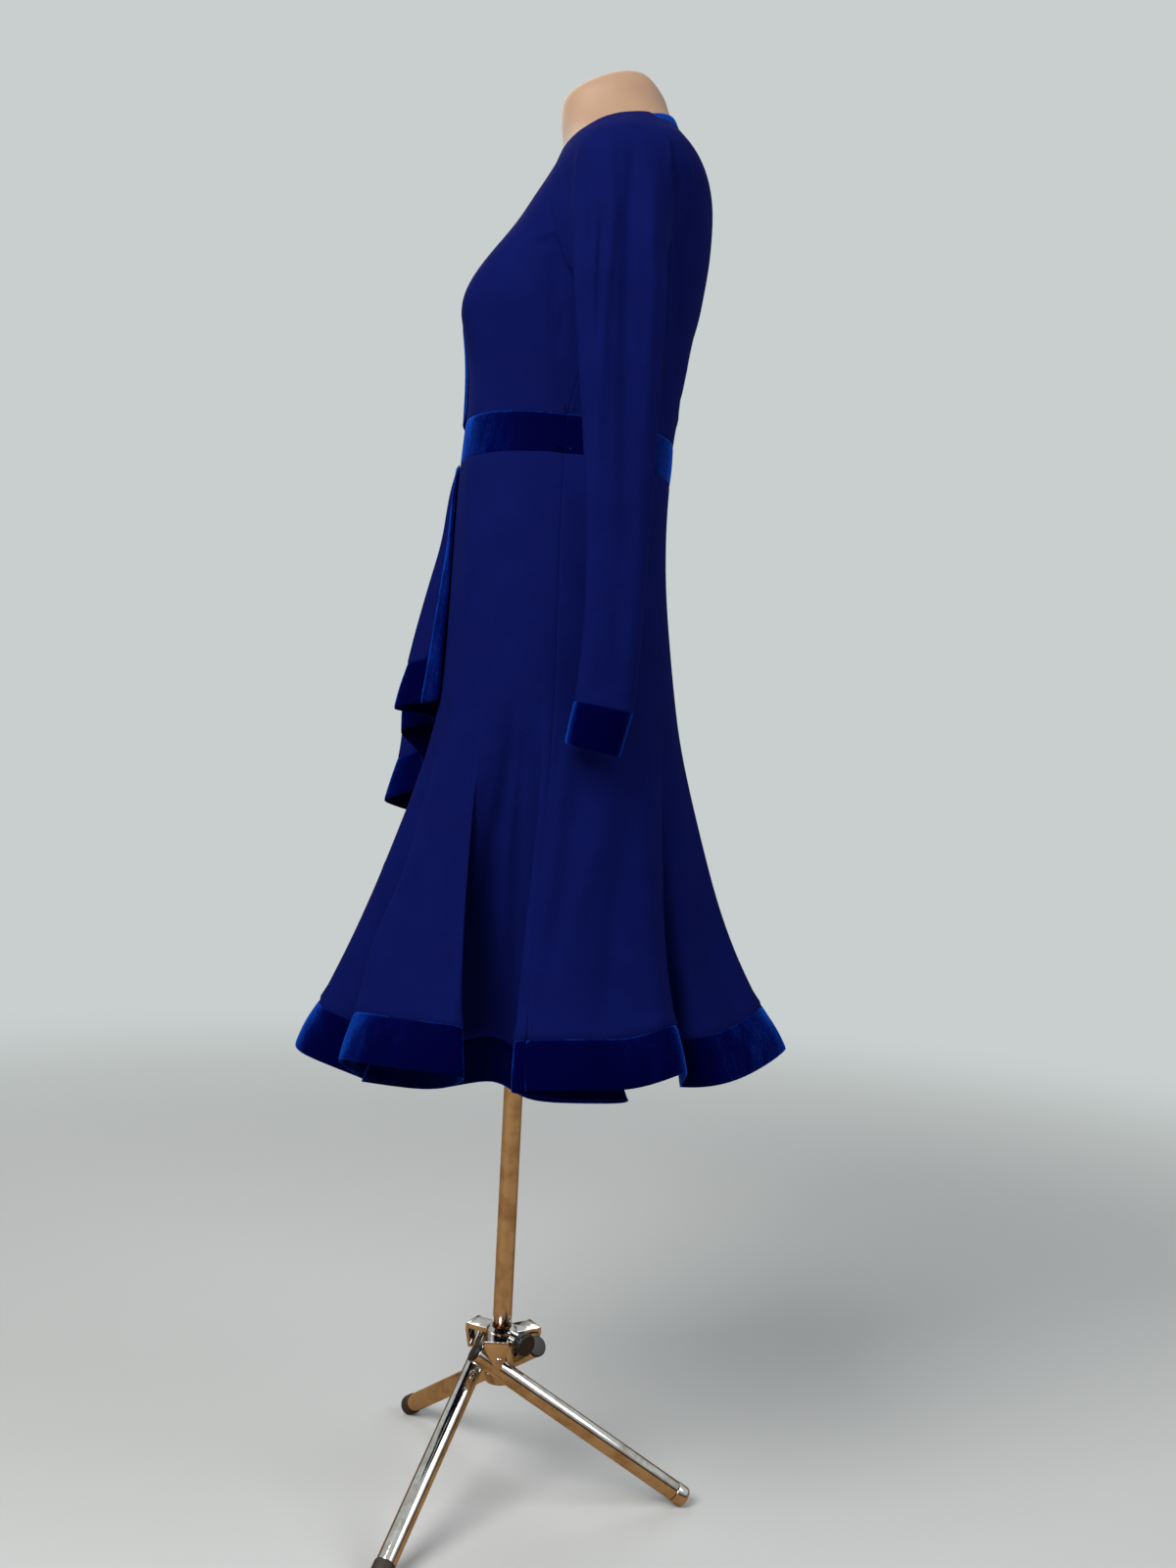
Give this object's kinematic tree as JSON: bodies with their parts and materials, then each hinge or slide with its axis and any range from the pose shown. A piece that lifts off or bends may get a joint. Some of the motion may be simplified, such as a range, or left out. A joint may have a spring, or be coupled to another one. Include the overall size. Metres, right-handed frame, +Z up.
{
  "type": "ballroom dance dress on a dress form with a tripod stand",
  "caption": "Long-sleeved ballroom dance dress with belted waist, flared gored skirt, banded hem and front cascade, worn by a limbless dress form on a tripod stand.",
  "frame": {"origin": "on the floor, under the middle of the part's box", "axes": "+Z up; the dress faces -Y; its left side is +X"},
  "size_m": [0.5282, 0.5568, 1.6529],
  "materials": {
    "crepe": "matt royal blue stretch crepe with a soft sheen",
    "velvet": "navy stretch velvet, near black face-on and bright blue at its edges",
    "form_plastic": "moulded skin-tone plastic, satin",
    "chrome": "chrome-plated steel, bright",
    "black_plastic": "moulded black plastic, satin",
    "foot_rubber": "moulded rubber foot caps"
  },
  "bodies": {
    "stand": {"hub": "chrome", "leg_back": "chrome", "leg_left": "chrome", "leg_right": "chrome", "plug_back": "black_plastic", "plug_left": "black_plastic", "plug_right": "black_plastic", "foot_back": "foot_rubber", "foot_left": "foot_rubber", "foot_right": "foot_rubber"},
    "pole": {"pole": "chrome"},
    "knob": {"knob": "black_plastic"},
    "figure": {"dress_form": "form_plastic", "bodice_front": "crepe", "bodice_back": "crepe", "neck_band": "velvet", "front_strip": "velvet", "belt_front": "velvet", "belt_back": "velvet", "sleeve_left": "crepe", "sleeve_right": "crepe", "cuff_left": "velvet", "cuff_right": "velvet", "gore_front": "crepe", "gore_left_front": "crepe", "gore_left_back": "crepe", "gore_back": "crepe", "gore_right_back": "crepe", "gore_right_front": "crepe", "band_front": "velvet", "band_left_front": "velvet", "band_left_back": "velvet", "band_back": "velvet", "band_right_back": "velvet", "band_right_front": "velvet", "drape": "crepe", "drape_side_border": "velvet", "drape_hem_border": "velvet"}
  },
  "joints": [
    {"name": "height", "type": "slide", "parent": "stand", "child": "pole", "axis": [0, 0, 1], "range_m": [0, 0.03]},
    {"name": "swivel", "type": "hinge", "parent": "pole", "child": "figure", "pos_m": [0, -0.0324, 0.9597], "axis": [0, 0, 1], "continuous": true},
    {"name": "knob_turn", "type": "hinge", "parent": "stand", "child": "knob", "pos_m": [0.02194, -0.01121, 0.188], "axis": [0.7193, 0.6947, 0], "range_deg": [0, 180]}
  ]
}
